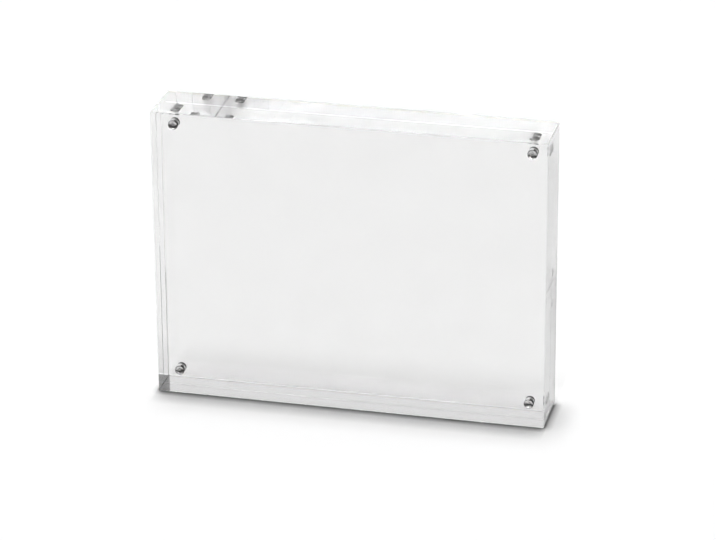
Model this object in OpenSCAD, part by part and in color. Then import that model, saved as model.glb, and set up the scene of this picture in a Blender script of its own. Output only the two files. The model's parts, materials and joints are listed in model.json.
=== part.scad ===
// Clear block frame: two polished acrylic blocks that hold a flat print between them.
// Each corner has a pair of small magnets, one bonded into a blind bore of each block.
// The origin is at the middle of the base. +X runs along the width, the front faces -Y, +Z is up.
// The two blocks come from sheet of one nominal thickness and differ a little within its tolerance.

/* [Blocks] */
// Width of both blocks, mm
block_w = 165; // [120:1:260]
// Height of both blocks, mm
block_h = 126; // [90:1:200]
// Thickness of the front block, mm
front_t = 12.9; // [8:0.1:30]
// Thickness of the rear block, mm
rear_t = 12.5; // [8:0.1:30]
// Width of the eased outer edges, mm
edge = 0.3; // [0.1:0.1:1]
// Width of the eased edges along the mating faces, mm
seam_edge = 0.1; // [0.05:0.05:0.5]

/* [Magnets] */
// Diameter of each magnet, mm
magnet_d = 4; // [2:0.5:6]
// Length of each magnet, mm
magnet_l = 3; // [1:0.5:5]
// Rounding of a magnet's rims, drawn as a small chamfer, mm
magnet_rim = 0.15; // [0.05:0.05:0.3]
// Distance from a magnet's axis to the nearer side of the block, mm
magnet_side = 7.6; // [6:0.1:20]
// Distance from a magnet's axis to the block's top or base, mm
magnet_end = 7.4; // [6:0.1:20]

/* [Fits] */
// Gap all round a magnet in its bore, mm
bore_gap = 0.05; // [0.02:0.01:0.1]
// Full angle of the point that the drill leaves at the end of a bore, degrees
point_angle = 118; // [100:1:135]
// Diameter of the drop of adhesive in that point, as a share of the magnet's
drop_share = 0.5; // [0.2:0.05:0.9]
// How far a magnet stands out of its block, so that a pair of magnets meets first, mm
proud = 0.03; // [0.01:0.01:0.2]

/* [Hidden] */
$fn = 64;
seam_y = (front_t - rear_t) / 2;
bore_d = magnet_d + 2 * bore_gap;
point_l = bore_d / 2 / tan(point_angle / 2);
drop_d = magnet_d * drop_share;
HALVES = [["front", -1, front_t], ["rear", 1, rear_t]];
CORNERS = [
    ["top_left", -1, 1],
    ["top_right", 1, 1],
    ["bottom_left", -1, -1],
    ["bottom_right", 1, -1]
];
function block_name(half) = str(half[0], "_block");
function corner_name(half, kind, corner) = str(half[0], "_", kind, "_", corner[0]);

// The front view of a block, with its four corners cut off at 45 degrees
module front_view() {
    x = block_w / 2;
    y = block_h / 2;
    polygon([
        [x - edge, -y], [x, edge - y], [x, y - edge], [x - edge, y],
        [edge - x, y], [-x, y - edge], [-x, edge - y], [edge - x, -y]
    ]);
}

// An end view of a block, from its mating face at y = 0 backwards, with its four corners cut off
module end_view(width, thickness) {
    x = width / 2;
    polygon([
        [seam_edge - x, 0], [x - seam_edge, 0], [x, seam_edge], [x, thickness - edge],
        [x - edge, thickness], [edge - x, thickness], [-x, thickness - edge], [-x, seam_edge]
    ]);
}

// A block without its bores, with all twelve edges eased
module eased_slab(thickness) {
    translate([0, 0, block_h / 2]) intersection() {
        rotate([-90, 0, 0]) linear_extrude(thickness) front_view();
        linear_extrude(block_h, center = true) end_view(block_w, thickness);
        rotate([0, 90, 0]) linear_extrude(block_w, center = true) end_view(block_h, thickness);
    }
}

// Puts a shape that runs along +Z from the mating plane into one corner of a half
module in_corner(corner) {
    translate([
        corner[1] * (block_w / 2 - magnet_side),
        0,
        block_h / 2 + corner[2] * (block_h / 2 - magnet_end)
    ])
        rotate([-90, 0, 0]) children();
}

// Puts a shape that was drawn backwards from the mating plane into the half asked for
module in_half(half) {
    translate([0, seam_y, 0]) mirror([0, half[1] < 0 ? 1 : 0, 0]) children();
}

// The pointed end of a bore, as deep in as a magnet reaches
module drill_point() {
    translate([0, 0, magnet_l]) cylinder(d1 = bore_d, d2 = 0, h = point_l);
}

// A clear block: its mating face is flat and has four blind bores
module block(half) {
    color([0.93, 0.96, 0.97, 0.4]) difference() {
        translate([0, proud, 0]) eased_slab(half[2] - proud);
        for (corner = CORNERS) in_corner(corner) {
            cylinder(d = bore_d, h = magnet_l);
            drill_point();
        }
    }
}

// A nickel-plated disc magnet with softened rims, from the mating plane inwards
module magnet() {
    r = magnet_d / 2;
    color([0.72, 0.72, 0.73]) rotate_extrude() polygon([
        [0, 0], [r - magnet_rim, 0], [r, magnet_rim],
        [r, magnet_l - magnet_rim], [r - magnet_rim, magnet_l], [0, magnet_l]
    ]);
}

// The drop of clear adhesive that holds a magnet by its end: it fills the tip of the drill point
module adhesive() {
    color([0.9, 0.92, 0.88, 0.6]) intersection() {
        drill_point();
        cylinder(d = drop_d, h = magnet_l + point_l);
    }
}

for (half = HALVES) {
    in_half(half) block(half);
    for (corner = CORNERS) {
        in_half(half) in_corner(corner) magnet();
        in_half(half) in_corner(corner) adhesive();
    }
}
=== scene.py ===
# A clear block frame of two polished acrylic blocks, on a pale floor in soft studio light.
import json
import math

import bpy
from mathutils import Matrix, Vector


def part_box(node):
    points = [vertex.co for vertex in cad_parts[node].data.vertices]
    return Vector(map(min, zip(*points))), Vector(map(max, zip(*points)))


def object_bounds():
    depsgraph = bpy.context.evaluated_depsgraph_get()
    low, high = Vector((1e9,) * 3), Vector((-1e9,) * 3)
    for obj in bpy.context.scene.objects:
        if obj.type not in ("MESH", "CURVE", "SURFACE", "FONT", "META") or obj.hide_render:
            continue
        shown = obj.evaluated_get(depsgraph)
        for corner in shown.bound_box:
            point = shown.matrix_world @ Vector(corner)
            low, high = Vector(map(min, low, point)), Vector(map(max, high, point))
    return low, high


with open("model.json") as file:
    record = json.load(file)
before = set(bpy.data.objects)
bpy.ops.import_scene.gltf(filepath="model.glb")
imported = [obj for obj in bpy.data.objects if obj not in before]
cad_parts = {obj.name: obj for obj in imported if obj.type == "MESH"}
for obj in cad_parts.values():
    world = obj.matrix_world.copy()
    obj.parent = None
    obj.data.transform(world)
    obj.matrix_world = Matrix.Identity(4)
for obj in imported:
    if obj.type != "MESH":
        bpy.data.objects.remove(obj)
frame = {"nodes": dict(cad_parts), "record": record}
cad_box = [list(corner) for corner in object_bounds()]
magnet_low, magnet_high = (Vector(corner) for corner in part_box("rear_magnet_top_right"))
magnet_radius = (magnet_high.x - magnet_low.x) / 2
seam = (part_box("front_block")[1][1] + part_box("rear_block")[0][1]) / 2
magnet_end = magnet_high.y - seam
side, rear, top = cad_box[1]
middle = (cad_box[0][2] + top) / 2

# Camera, fitted to the photograph: angles in degrees, distances as shares of the frame's width
IMAGE_WIDTH_PX = 716
CAMERA_FOCAL_PX = 3627
CAMERA_AZIMUTH = 13.44
CAMERA_ELEVATION = 23.97
CAMERA_ROLL = -0.37
CAMERA_DISTANCE = 9.026
AIM_HEIGHT = 0.35
AIM_RIGHT = 0.025
AIM_UP = 0.032
SENSOR_MM = 36
CLIP_NEAR = 0.01
CLIP_FAR = 100

# Noise: the part of its values that is used. Each grain below is a scale per metre and a detail.
NOISE_SPAN = (0.3, 0.7)

# Acrylic: the light left after two of its faces, after both its ends, and after its top and base, where the
# top and base are tinted lighter than the faces as painted light
TINT_FACES = 0.915
TINT_ENDS = 0.69
TOP_TINT_AND_LIGHT = 0.985
HAZE = 0.99
HAZE_GRAIN = (60, 4)
CLEAR_GLOSS = 0.5
ACRYLIC_IOR = 1.5

# Edges: the upper ones worn pale, the lower ones, at the seam too, painted near-black as shade. How much of
# the upper ones, the lower ones and those at the seam is covered, and how grey
UPPER_COVER = 0.9
UPPER_GREY = 0.9
# The lower edges are coloured near-black as painted shade.
LOWER_SHADE_COVER = 1.0
LOWER_SHADE_GREY = 0.03
SEAM_COVER = 0.5
EDGE_GRAIN = (2500, 3)
EDGE_PATCHY = 0.6
EDGE_SLANT = (0.1, 0.2)
EDGE_OPAQUE = 0.5
EDGE_FROM_MAGNET = 1.5
REAR_REACH = 0.001
SEAM_REACH = 0.0004

# Old glue on a bore's wall, coloured near-black as painted shade, from a little way off the seam, and in
# the front block only on the right
GLUE_SHADE_GREY = (0.002, 0.02)
STAIN_GRAIN = (900, 3)
STAIN_ROUGHNESS = 0.4
STAIN_GLOSS = 0.0
STAIN_MARGIN = 0.0001
STAIN_START = 0.0006
STAIN_SOFT = 0.0003
STAIN_WAVE = 0.0001
WAVE_GRAIN = (500, 2)
TURN_GRAIN = (600, 2)
RIGHT_PART = (0.0, 0.3)

# The line that settled glue has left across the drill point of a bore, just below its axis
LINE_SHIFT = (-0.0001, 0.0007)
LINE_GRAIN = (300, 1)
LINE_CORE = 0.00028
LINE_WIDTH = 0.0007

# Nickel plate, and old glue round a magnet's side, coloured near-black as painted shade, which begins
# between two distances inside its rim
PLATE_GREY = (0.75, 0.85)
PLATE_GRAIN = (4000, 2)
PLATE_ROUGHNESS = 0.15
SIDE_FROM = 0.0003
SIDE_TO = 0.0001
SIDE_GRAIN = (1200, 4)
SIDE_ROUGHNESS = 0.45

# Drops of adhesive, which stand clear of the bores' walls by a hair
DROP_CLEAR = 0.9
DROP_MILKY = 0.8
DROP_GRAIN = (1500, 2)
DROP_ROUGHNESS = 0.1
DROP_IOR = 1.46
DROP_CLEARANCE = 0.00001

# Studio light, as radiance. Directions are parts of a unit vector, and the card's angles are degrees.
LIGHT_HORIZON = 1.0
LIGHT_BACK = 0.80
LIGHT_FRONT = 0.3
LIGHT_UPPER = 0.3
LIGHT_SCALE = 1.15
SWEEP_TURN = 0.5
HORIZON_HEIGHT = 0.35
UPPER_HEIGHT = (0.5, 0.7)
LIGHT_TOP = 45
TOP_CENTRE = (-0.03, 0.04)
TOP_SPREAD = (0.11, 0.17)
TOP_CORE = 0.6
CARD_LIGHT = 0.3
CARD_AZIMUTH = 160
CARD_ELEVATION = 22
CARD_EDGE = 20
CARD_CORE = 11
BOUNCES = 64

# Floor, and the shadow painted into its colour where the blocks meet it: how far it reaches and how dark it
# gets
FLOOR_SIZE = 12
FLOOR_DROP = 0.00003
FLOOR_COLOR = (0.93, 0.93, 0.93, 1)
OPENNESS_SAMPLES = 16
SHADOW_LEAN = (-0.15, 0.3, 1)
SHADOW_WIDE = 0.012
SHADOW_WIDE_DARK = 0.85
SHADOW_NARROW = 0.004
SHADOW_NARROW_DARK = 1.25
BEHIND_LEAN = (0, -0.8, 1)
SHADOW_BEHIND = 0.040
SHADOW_BEHIND_DARK = 0.3
SHADOW_SIDE = 0.0015
SIDE_WIDE_DARK = 0.15
SIDE_NARROW_DARK = 1.0
REAR_FROM = 0.004
REAR_TO = 0.001
REAR_DARK = 0.1
UNDER_OPENNESS = (0.1, 0.2)


def outward(azimuth, elevation):
    """A direction, from an azimuth that turns from -Y towards +X and an elevation, in degrees."""
    azimuth, elevation = math.radians(azimuth), math.radians(elevation)
    level = math.cos(elevation)
    return Vector((math.sin(azimuth) * level, -math.cos(azimuth) * level, math.sin(elevation)))


def new_material(name):
    """A material with an empty Principled shader, and that shader."""
    material = bpy.data.materials.new(name)
    material.use_nodes = True
    return material, material.node_tree.nodes["Principled BSDF"]


def link_value(tree, source, socket):
    """Links a socket, or sets a number."""
    if isinstance(source, (int, float)):
        socket.default_value = source
    else:
        tree.links.new(source, socket)


def math_node(tree, operation, *values):
    node = tree.nodes.new("ShaderNodeMath")
    node.operation = operation
    for value, socket in zip(values, node.inputs):
        link_value(tree, value, socket)
    return node.outputs[0]


def smooth_range(tree, value, low, high, out_low, out_high):
    """A smooth step of value from low to high, mapped to out_low and out_high."""
    node = tree.nodes.new("ShaderNodeMapRange")
    node.interpolation_type = "SMOOTHSTEP"
    names = ("Value", "From Min", "From Max", "To Min", "To Max")
    for name, source in zip(names, (value, low, high, out_low, out_high)):
        link_value(tree, source, node.inputs[name])
    return node.outputs["Result"]


def blend(tree, mask, outside, inside):
    """One value where the mask is 0 and the other where it is 1."""
    return smooth_range(tree, mask, 0.0, 1.0, outside, inside)


def all_of(tree, *masks):
    """The product of several masks."""
    product = masks[0]
    for mask in masks[1:]:
        product = math_node(tree, "MULTIPLY", product, mask)
    return product


def noise(tree, grain, low, high):
    """Noise in the object's own space, stretched from low to high."""
    scale, detail = grain
    node = tree.nodes.new("ShaderNodeTexNoise")
    tree.links.new(tree.nodes.new("ShaderNodeTexCoord").outputs["Object"], node.inputs["Vector"])
    node.inputs["Scale"].default_value = scale
    node.inputs["Detail"].default_value = detail
    return smooth_range(tree, node.outputs["Fac"], *NOISE_SPAN, low, high)


def split_axes(tree, vector):
    node = tree.nodes.new("ShaderNodeSeparateXYZ")
    tree.links.new(vector, node.inputs[0])
    return [node.outputs[axis] for axis in "XYZ"]


def object_place(tree):
    """The coordinates of a point in its own object, which are the frame's at rest."""
    return split_axes(tree, tree.nodes.new("ShaderNodeTexCoord").outputs["Object"])


def bore_place(tree):
    """Distances from the axis of the nearest magnet: to the right of it, behind the seam, above it."""
    across = (magnet_low.x + magnet_high.x) / 2
    above = (magnet_low.z + magnet_high.z) / 2 - middle
    x, y, z = object_place(tree)
    y = math_node(tree, "SUBTRACT", y, seam)
    height = math_node(tree, "SUBTRACT", z, middle)
    x = math_node(tree, "MULTIPLY_ADD", math_node(tree, "SIGN", x), -across, x)
    z = math_node(tree, "MULTIPLY_ADD", math_node(tree, "SIGN", height), -above, height)
    return x, y, z


def distance(tree, x, z):
    return math_node(tree, "SQRT", math_node(tree, "MULTIPLY_ADD", x, x, math_node(tree, "MULTIPLY", z, z)))


def wavy(tree, value, grain):
    """A length with a small irregular wave on it."""
    return math_node(tree, "ADD", value, noise(tree, grain, -STAIN_WAVE, STAIN_WAVE))


def glued_depth(tree, depth):
    """1 from a little way off the seam, where the glue round a magnet begins, to its inner end."""
    start = smooth_range(tree, depth, STAIN_START, STAIN_START + STAIN_SOFT, 0.0, 1.0)
    return all_of(tree, start, math_node(tree, "LESS_THAN", depth, magnet_end + STAIN_WAVE))


def level_line(tree, z, depth):
    """1 on the line across the drill point of a bore."""
    level = math_node(tree, "ADD", z, noise(tree, LINE_GRAIN, *LINE_SHIFT))
    line = smooth_range(tree, math_node(tree, "ABSOLUTE", level), LINE_CORE, LINE_WIDTH, 1.0, 0.0)
    past_magnet = math_node(tree, "GREATER_THAN", depth, magnet_end + STAIN_MARGIN)
    before_face = math_node(tree, "LESS_THAN", depth, magnet_end + magnet_radius)
    return all_of(tree, line, past_magnet, before_face)


def bore_glue_and_shade(tree):
    """1 where old glue lies in a bore and is coloured dark: on its wall as painted shade, and in a level
    line across its point.
    """
    x, y, z = bore_place(tree)
    radius = distance(tree, x, z)
    inside = math_node(tree, "LESS_THAN", radius, magnet_radius + STAIN_MARGIN)
    at_wall = math_node(tree, "GREATER_THAN", radius, magnet_radius - STAIN_MARGIN)
    depth = math_node(tree, "ABSOLUTE", y)
    right_from, right_to = (magnet_radius * share for share in RIGHT_PART)
    right = smooth_range(tree, wavy(tree, x, TURN_GRAIN), right_from, right_to, 0.0, 1.0)
    wetted = math_node(tree, "MAXIMUM", math_node(tree, "GREATER_THAN", y, 0.0), right)
    wall = all_of(tree, at_wall, wetted, glued_depth(tree, wavy(tree, depth, WAVE_GRAIN)))
    return all_of(tree, inside, math_node(tree, "MAXIMUM", wall, level_line(tree, z, depth)))


def slanted(tree, first, second, cover):
    """The cover of a surface that slants between two axes, from the squares of its normal along them."""
    return smooth_range(tree, all_of(tree, first, second), *EDGE_SLANT, 0.0, cover)


def wear_and_shade_cover(tree, square, upper):
    """The cover of the edges, worn pale above and painted dark as shade below: along the depth, upright at
    the seam, and level at the upper rear.
    """
    x, y, z = bore_place(tree)
    away = math_node(tree, "GREATER_THAN", distance(tree, x, z), magnet_radius * EDGE_FROM_MAGNET)
    along_depth = slanted(tree, square[0], square[2], blend(tree, upper, LOWER_SHADE_COVER, UPPER_COVER))
    at_seam = math_node(tree, "LESS_THAN", math_node(tree, "ABSOLUTE", y), SEAM_REACH)
    upright = all_of(tree, slanted(tree, square[0], square[1], SEAM_COVER), at_seam)
    at_rear = math_node(tree, "GREATER_THAN", y, rear - seam - REAR_REACH)
    level = all_of(tree, slanted(tree, square[1], square[2], UPPER_COVER), upper, at_rear)
    worn_and_shaded = math_node(tree, "MAXIMUM", math_node(tree, "MAXIMUM", along_depth, upright), level)
    return all_of(tree, worn_and_shaded, away, noise(tree, EDGE_GRAIN, EDGE_PATCHY, 1.0))


def face_tint_and_light(tree, square):
    """The tint of each side of a block, from the squares of the normal, with a slight haze; the top and
    base are tinted lighter as painted light.
    """
    tint = math_node(tree, "MULTIPLY", square[0], TINT_ENDS)
    tint = math_node(tree, "MULTIPLY_ADD", square[1], TINT_FACES, tint)
    tint = math_node(tree, "MULTIPLY_ADD", square[2], TOP_TINT_AND_LIGHT, tint)
    return math_node(tree, "MULTIPLY", tint, noise(tree, HAZE_GRAIN, HAZE, 1.0))


def acrylic_material():
    """Clear and polished, with edges worn pale above and painted dark as shade below, and old glue in the
    bores, painted dark as shade.
    """
    material, shader = new_material("clear_acrylic")
    tree = material.node_tree
    normal = split_axes(tree, tree.nodes.new("ShaderNodeNewGeometry").outputs["True Normal"])
    square = [math_node(tree, "MULTIPLY", part, part) for part in normal]
    upper = math_node(tree, "GREATER_THAN", object_place(tree)[2], middle)
    edge = wear_and_shade_cover(tree, square, upper)
    glue_shade = bore_glue_and_shade(tree)
    # Pale where the upper edges are worn; near-black on the lower ones as painted shade.
    wear_and_shade_grey = blend(tree, upper, LOWER_SHADE_GREY, UPPER_GREY)
    color = smooth_range(tree, edge, 0.0, EDGE_OPAQUE, face_tint_and_light(tree, square), wear_and_shade_grey)
    # Old glue in the bores, coloured near-black as painted shade on their walls.
    color = blend(tree, glue_shade, color, noise(tree, STAIN_GRAIN, *GLUE_SHADE_GREY))
    opaque = math_node(tree, "MAXIMUM", glue_shade, edge)
    gloss = math_node(tree, "MULTIPLY_ADD", glue_shade, STAIN_GLOSS - CLEAR_GLOSS, CLEAR_GLOSS)
    tree.links.new(color, shader.inputs["Base Color"])
    tree.links.new(math_node(tree, "SUBTRACT", 1.0, opaque), shader.inputs["Transmission Weight"])
    tree.links.new(math_node(tree, "MULTIPLY", opaque, STAIN_ROUGHNESS), shader.inputs["Roughness"])
    tree.links.new(gloss, shader.inputs["Specular IOR Level"])
    shader.inputs["IOR"].default_value = ACRYLIC_IOR
    return material


def nickel_material():
    """Bright plate on a magnet's ends, and near-black as painted shade round its side, where old glue lies.
    """
    material, shader = new_material("nickel_plate")
    tree = material.node_tree
    x, y, z = bore_place(tree)
    radius = wavy(tree, distance(tree, x, z), STAIN_GRAIN)
    at_side = smooth_range(tree, radius, magnet_radius - SIDE_FROM, magnet_radius - SIDE_TO, 0.0, 1.0)
    depth = wavy(tree, math_node(tree, "ABSOLUTE", y), WAVE_GRAIN)
    glue_shade = all_of(tree, at_side, glued_depth(tree, depth))
    plate = noise(tree, PLATE_GRAIN, *PLATE_GREY)
    # Near-black painted shade round the magnet's side, where old glue lies.
    color = blend(tree, glue_shade, plate, noise(tree, SIDE_GRAIN, *GLUE_SHADE_GREY))
    tree.links.new(color, shader.inputs["Base Color"])
    tree.links.new(blend(tree, glue_shade, PLATE_ROUGHNESS, SIDE_ROUGHNESS), shader.inputs["Roughness"])
    shader.inputs["Metallic"].default_value = 1
    return material


def adhesive_material():
    """Cured glue: clear with milky patches."""
    material, shader = new_material("cured_adhesive")
    tree = material.node_tree
    milk = noise(tree, DROP_GRAIN, 0.0, 1.0)
    tree.links.new(blend(tree, milk, DROP_CLEAR, DROP_MILKY), shader.inputs["Base Color"])
    tree.links.new(math_node(tree, "SUBTRACT", 1.0, milk), shader.inputs["Transmission Weight"])
    shader.inputs["Roughness"].default_value = DROP_ROUGHNESS
    shader.inputs["IOR"].default_value = DROP_IOR
    return material


def nodes_of(slot):
    """The CAD nodes of one material slot."""
    parts = frame["record"]["subparts"]
    return [frame["nodes"][part["node"]] for part in parts if part["material_slot"] == slot]


def dress(slot, material):
    """Gives every CAD node of one material slot its Blender material."""
    for node in nodes_of(slot):
        node.data.materials.clear()
        node.data.materials.append(material)


def draw_in_drops():
    """Draws the drops of adhesive in, so that they share no face with the clear blocks."""
    for node in nodes_of("adhesive"):
        shrink = node.modifiers.new("clear_of_bore", "DISPLACE")
        shrink.strength = -DROP_CLEARANCE
        shrink.mid_level = 0


def openness(tree, reach, towards_light):
    """How open the floor is towards the light, from 0 under a piece to 1, seen within reach."""
    node = tree.nodes.new("ShaderNodeAmbientOcclusion")
    node.samples = OPENNESS_SAMPLES
    node.inputs["Distance"].default_value = reach
    lean = tree.nodes.new("ShaderNodeCombineXYZ")
    for axis, number in zip("XYZ", Vector(towards_light).normalized()):
        lean.inputs[axis].default_value = number
    tree.links.new(lean.outputs[0], node.inputs["Normal"])
    return node.outputs["AO"]


def shaded(tree, open_share, darkness):
    """1 in the open, and the less of it, the more a piece stands in the way."""
    return math_node(tree, "MULTIPLY_ADD", darkness, math_node(tree, "SUBTRACT", open_share, 1.0), 1.0)


def painted_contact_shadow(tree):
    """The floor's painted shadow: dark in front of a block and beside it, faint behind, and none under one.
    """
    x, y, z = split_axes(tree, tree.nodes.new("ShaderNodeNewGeometry").outputs["Position"])
    inner = smooth_range(tree, math_node(tree, "ABSOLUTE", x), side, side + SHADOW_SIDE, 1.0, 0.0)
    past_rear = smooth_range(tree, y, rear - REAR_FROM, rear - REAR_TO, 0.0, 1.0)
    faded = blend(tree, all_of(tree, past_rear, inner), 1.0, REAR_DARK)
    wide_dark = blend(tree, inner, SIDE_WIDE_DARK, SHADOW_WIDE_DARK)
    narrow_dark = blend(tree, inner, SIDE_NARROW_DARK, SHADOW_NARROW_DARK)
    behind_dark = smooth_range(tree, y, 0.0, rear, 0.0, SHADOW_BEHIND_DARK)
    narrow = openness(tree, SHADOW_NARROW, SHADOW_LEAN)
    shade = all_of(
        tree,
        shaded(tree, openness(tree, SHADOW_WIDE, SHADOW_LEAN), all_of(tree, wide_dark, faded)),
        shaded(tree, narrow, all_of(tree, narrow_dark, faded)),
        shaded(tree, openness(tree, SHADOW_BEHIND, BEHIND_LEAN), all_of(tree, behind_dark, inner)),
    )
    return smooth_range(tree, narrow, *UNDER_OPENNESS, 1.0, shade)


def floor_material():
    """White paper, with a soft contact shadow painted into its colour round whatever stands on it."""
    material, shader = new_material("white_sweep")
    tree = material.node_tree
    paint = tree.nodes.new("ShaderNodeMix")
    paint.data_type = "RGBA"
    paint.blend_type = "MULTIPLY"
    paint.inputs["Factor"].default_value = 1
    paint.inputs["A"].default_value = FLOOR_COLOR
    # The painted contact shadow multiplies the paper's colour.
    tree.links.new(painted_contact_shadow(tree), paint.inputs["B"])
    tree.links.new(paint.outputs["Result"], shader.inputs["Base Color"])
    shader.inputs["Roughness"].default_value = 1
    shader.inputs["Specular IOR Level"].default_value = 0
    return material


def dark_card(tree, direction):
    """1 in most directions, and less towards a dark card behind the frame on its right."""
    facing = tree.nodes.new("ShaderNodeVectorMath")
    facing.operation = "DOT_PRODUCT"
    tree.links.new(direction, facing.inputs[0])
    facing.inputs[1].default_value = outward(CARD_AZIMUTH, CARD_ELEVATION)
    edge, core = math.cos(math.radians(CARD_EDGE)), math.cos(math.radians(CARD_CORE))
    return smooth_range(tree, facing.outputs["Value"], edge, core, 1.0, CARD_LIGHT)


def overhead_light(tree, x, y, z):
    """The light of an oval softbox overhead, with a soft rim."""
    off = [
        math_node(tree, "DIVIDE", math_node(tree, "SUBTRACT", part, centre), spread)
        for part, centre, spread in zip((x, y), TOP_CENTRE, TOP_SPREAD)
    ]
    square = math_node(tree, "MULTIPLY_ADD", off[0], off[0], math_node(tree, "MULTIPLY", off[1], off[1]))
    light = smooth_range(tree, square, 1.0, TOP_CORE ** 2, 0.0, LIGHT_TOP)
    return math_node(tree, "MULTIPLY", light, math_node(tree, "GREATER_THAN", z, 0.0))


def studio_world():
    """Soft light: a bright sweep behind, a softbox overhead, a dark card, and a dim room in front."""
    world = bpy.data.worlds.new("studio")
    world.use_nodes = True
    tree = world.node_tree
    direction = tree.nodes.new("ShaderNodeTexCoord").outputs["Generated"]
    x, y, z = split_axes(tree, direction)
    sweep = smooth_range(tree, y, -SWEEP_TURN, SWEEP_TURN, LIGHT_FRONT, LIGHT_BACK)
    upper = smooth_range(tree, z, *UPPER_HEIGHT, sweep, LIGHT_UPPER)
    room = smooth_range(tree, z, 0.0, HORIZON_HEIGHT, LIGHT_HORIZON, upper)
    overhead = overhead_light(tree, x, y, z)
    light = math_node(tree, "MULTIPLY_ADD", room, dark_card(tree, direction), overhead)
    background = tree.nodes["Background"]
    tree.links.new(light, background.inputs["Color"])
    background.inputs["Strength"].default_value = LIGHT_SCALE
    return world


def fitted_camera():
    """The photograph's camera, which looks at the frame's front face."""
    left, front, base = cad_box[0]
    width = side - left
    back = outward(CAMERA_AZIMUTH, CAMERA_ELEVATION)
    roll = math.radians(CAMERA_ROLL)
    level_right = (-back).cross(Vector((0, 0, 1))).normalized()
    level_up = level_right.cross(-back)
    right = level_right * math.cos(roll) + level_up * math.sin(roll)
    up = level_up * math.cos(roll) - level_right * math.sin(roll)
    aim = Vector((0, front, base + AIM_HEIGHT * width))
    pose = Matrix((right, up, back)).transposed().to_4x4()
    pose.translation = aim + (back * CAMERA_DISTANCE + right * AIM_RIGHT + up * AIM_UP) * width
    lens = bpy.data.cameras.new("camera")
    lens.sensor_width = SENSOR_MM
    lens.lens = CAMERA_FOCAL_PX * SENSOR_MM / IMAGE_WIDTH_PX
    lens.clip_start = CLIP_NEAR
    lens.clip_end = CLIP_FAR
    camera = bpy.data.objects.new("camera", lens)
    bpy.context.collection.objects.link(camera)
    camera.matrix_world = pose
    return camera


dress("acrylic", acrylic_material())
dress("nickel", nickel_material())
dress("adhesive", adhesive_material())
draw_in_drops()

bpy.ops.mesh.primitive_plane_add(size=FLOOR_SIZE, location=(0, 0, -FLOOR_DROP))
floor = bpy.context.object
floor.name = "floor"
floor.data.materials.append(floor_material())

scene = bpy.context.scene
scene.world = studio_world()
scene.camera = fitted_camera()
scene.view_settings.view_transform = "Standard"
scene.cycles.max_bounces = BOUNCES
scene.cycles.transmission_bounces = BOUNCES
scene.cycles.glossy_bounces = BOUNCES
scene.cycles.blur_glossy = 0
scene.cycles.sample_clamp_indirect = 0
